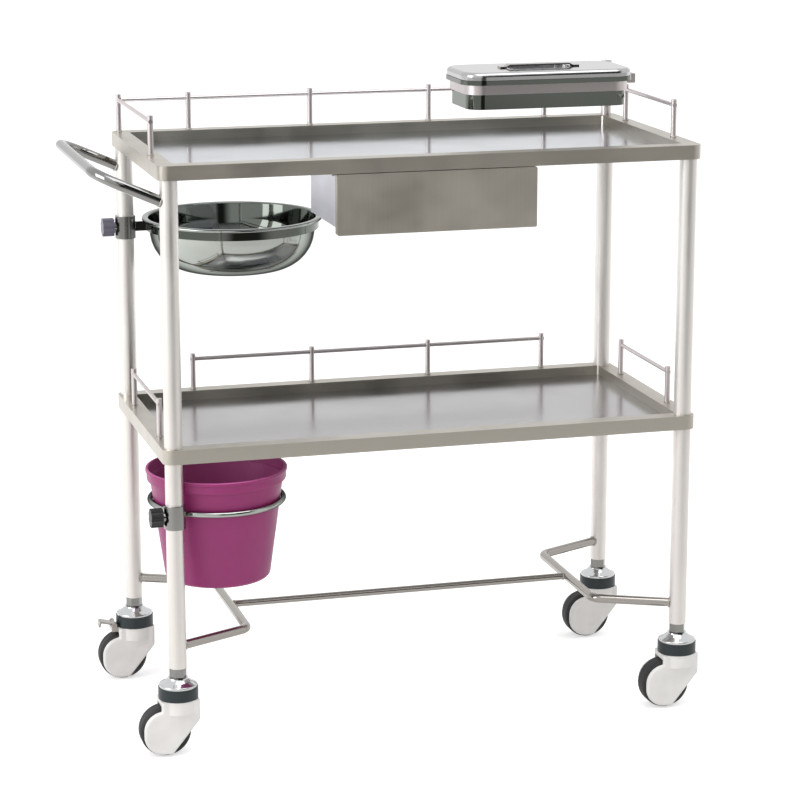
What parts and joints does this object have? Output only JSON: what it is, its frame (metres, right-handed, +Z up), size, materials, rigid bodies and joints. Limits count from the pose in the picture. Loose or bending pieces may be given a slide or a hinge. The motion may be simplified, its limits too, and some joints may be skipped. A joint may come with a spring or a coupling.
{
  "type": "dressing trolley",
  "caption": "Two-tier stainless ward trolley on swivel casters with guard rails, a push handle, a hanging drawer, a basin on a swing ring, a bucket on a swing ring and a lidded tray.",
  "frame": {"origin": "on the floor, midway between the four legs", "axes": "+X to the right seen from the long front side, so the push handle is at -X; +Y to the back; +Z up"},
  "size_m": [0.8773, 0.5034, 0.9298],
  "materials": {
    "stainless_satin": "satin brushed stainless steel",
    "stainless_polished": "mirror polished stainless steel",
    "stainless_panel": "polished stainless sheet",
    "bucket_plastic": "semi-gloss magenta plastic",
    "hood_plastic": "smooth light grey moulded plastic",
    "band_plastic": "dark slate moulded plastic",
    "knob_grey": "lilac grey moulded plastic",
    "knob_black": "black moulded plastic",
    "wheel_plastic": "grey moulded plastic",
    "tyre_rubber": "black rubber tread"
  },
  "bodies": {
    "trolley": {"caster_bands": "band_plastic", "caster_caps": "stainless_polished", "caster_sockets": "stainless_satin", "caster_stems": "stainless_satin", "drawer_left_runner": "stainless_satin", "drawer_right_runner": "stainless_satin", "foot_stretcher": "stainless_polished", "left_foot_brace": "stainless_polished", "leg_back_left": "stainless_satin", "leg_back_right": "stainless_satin", "leg_front_left": "stainless_satin", "leg_front_right": "stainless_satin", "lower_back_rail": "stainless_polished", "lower_left_rail": "stainless_polished", "lower_rail_posts": "stainless_polished", "lower_right_rail": "stainless_polished", "lower_shelf_frame": "stainless_satin", "lower_shelf_panel": "stainless_panel", "push_handle": "stainless_polished", "right_foot_brace": "stainless_polished", "tray_holder": "stainless_polished", "tray_post": "stainless_polished", "upper_back_rail": "stainless_polished", "upper_left_rail": "stainless_polished", "upper_rail_posts": "stainless_polished", "upper_right_rail": "stainless_polished", "upper_shelf_frame": "stainless_satin", "upper_shelf_panel": "stainless_panel"},
    "swivel_front_left": {"hood_front_left": "hood_plastic", "axle_front_left": "stainless_satin"},
    "wheel_front_left": {"wheel_front_left": "wheel_plastic", "tyre_front_left": "tyre_rubber"},
    "swivel_back_left": {"hood_back_left": "hood_plastic", "axle_back_left": "stainless_satin", "brake_bracket": "stainless_satin"},
    "wheel_back_left": {"wheel_back_left": "wheel_plastic", "tyre_back_left": "tyre_rubber"},
    "swivel_front_right": {"hood_front_right": "hood_plastic", "axle_front_right": "stainless_satin"},
    "wheel_front_right": {"wheel_front_right": "wheel_plastic", "tyre_front_right": "tyre_rubber"},
    "swivel_back_right": {"hood_back_right": "hood_plastic", "axle_back_right": "stainless_satin"},
    "wheel_back_right": {"wheel_back_right": "wheel_plastic", "tyre_back_right": "tyre_rubber"},
    "brake": {"brake_pedal": "stainless_satin"},
    "drawer": {"drawer_box": "stainless_satin", "drawer_front": "stainless_satin"},
    "basin_holder": {"basin_clamp": "stainless_satin", "basin_ring": "stainless_polished"},
    "basin_knob": {"basin_knob": "knob_grey"},
    "basin": {"basin_bowl": "stainless_polished"},
    "bucket_holder": {"bucket_clamp": "stainless_satin", "bucket_ring": "stainless_polished"},
    "bucket_knob": {"bucket_knob": "knob_black"},
    "bucket": {"bucket": "bucket_plastic"},
    "tray": {"tray": "stainless_polished"},
    "lid": {"tray_lid": "stainless_polished", "lid_handle": "stainless_polished"}
  },
  "joints": [
    {"name": "front_left_swivel", "type": "hinge", "parent": "trolley", "child": "swivel_front_left", "pos_m": [-0.3725, -0.171, 0.09], "axis": [0, 0, 1], "continuous": true},
    {"name": "front_left_roll", "type": "hinge", "parent": "swivel_front_left", "child": "wheel_front_left", "pos_m": [-0.3925, -0.171, 0.036], "axis": [0, 1, 0], "continuous": true},
    {"name": "back_left_swivel", "type": "hinge", "parent": "trolley", "child": "swivel_back_left", "pos_m": [-0.3725, 0.171, 0.09], "axis": [0, 0, 1], "continuous": true},
    {"name": "back_left_roll", "type": "hinge", "parent": "swivel_back_left", "child": "wheel_back_left", "pos_m": [-0.3925, 0.171, 0.036], "axis": [0, 1, 0], "continuous": true},
    {"name": "front_right_swivel", "type": "hinge", "parent": "trolley", "child": "swivel_front_right", "pos_m": [0.3725, -0.171, 0.09], "axis": [0, 0, 1], "continuous": true},
    {"name": "front_right_roll", "type": "hinge", "parent": "swivel_front_right", "child": "wheel_front_right", "pos_m": [0.3525, -0.171, 0.036], "axis": [0, 1, 0], "continuous": true},
    {"name": "back_right_swivel", "type": "hinge", "parent": "trolley", "child": "swivel_back_right", "pos_m": [0.3725, 0.171, 0.09], "axis": [0, 0, 1], "continuous": true},
    {"name": "back_right_roll", "type": "hinge", "parent": "swivel_back_right", "child": "wheel_back_right", "pos_m": [0.3525, 0.171, 0.036], "axis": [0, 1, 0], "continuous": true},
    {"name": "brake_press", "type": "hinge", "parent": "swivel_back_left", "child": "brake", "pos_m": [-0.4055, 0.171, 0.085], "axis": [0, 1, 0], "range_deg": [-18, 0]},
    {"name": "drawer_slide", "type": "slide", "parent": "trolley", "child": "drawer", "axis": [0, -1, 0], "range_m": [0, 0.15]},
    {"name": "basin_swing", "type": "hinge", "parent": "trolley", "child": "basin_holder", "pos_m": [-0.3725, 0.171, 0.6915], "axis": [0, 0, 1], "range_deg": [-10, 90]},
    {"name": "basin_screw", "type": "hinge", "parent": "basin_holder", "child": "basin_knob", "pos_m": [-0.3975, 0.171, 0.6915], "axis": [-1, 0, 0], "continuous": true},
    {"name": "basin_lift", "type": "slide", "parent": "basin_holder", "child": "basin", "axis": [0, 0, 1], "range_m": [0, 0.095]},
    {"name": "bucket_swing", "type": "hinge", "parent": "trolley", "child": "bucket_holder", "pos_m": [-0.3725, -0.171, 0.343], "axis": [0, 0, 1], "range_deg": [-140, 0]},
    {"name": "bucket_screw", "type": "hinge", "parent": "bucket_holder", "child": "bucket_knob", "pos_m": [-0.3975, -0.171, 0.343], "axis": [-1, 0, 0], "continuous": true},
    {"name": "bucket_lift", "type": "slide", "parent": "bucket_holder", "child": "bucket", "axis": [0, 0, 1], "range_m": [0, 0.025]},
    {"name": "tray_lift", "type": "slide", "parent": "trolley", "child": "tray", "axis": [0, 0, 1], "range_m": [0, 0.08]},
    {"name": "lid_lift", "type": "slide", "parent": "tray", "child": "lid", "axis": [0, 0, 1], "range_m": [0, 0.06]}
  ]
}
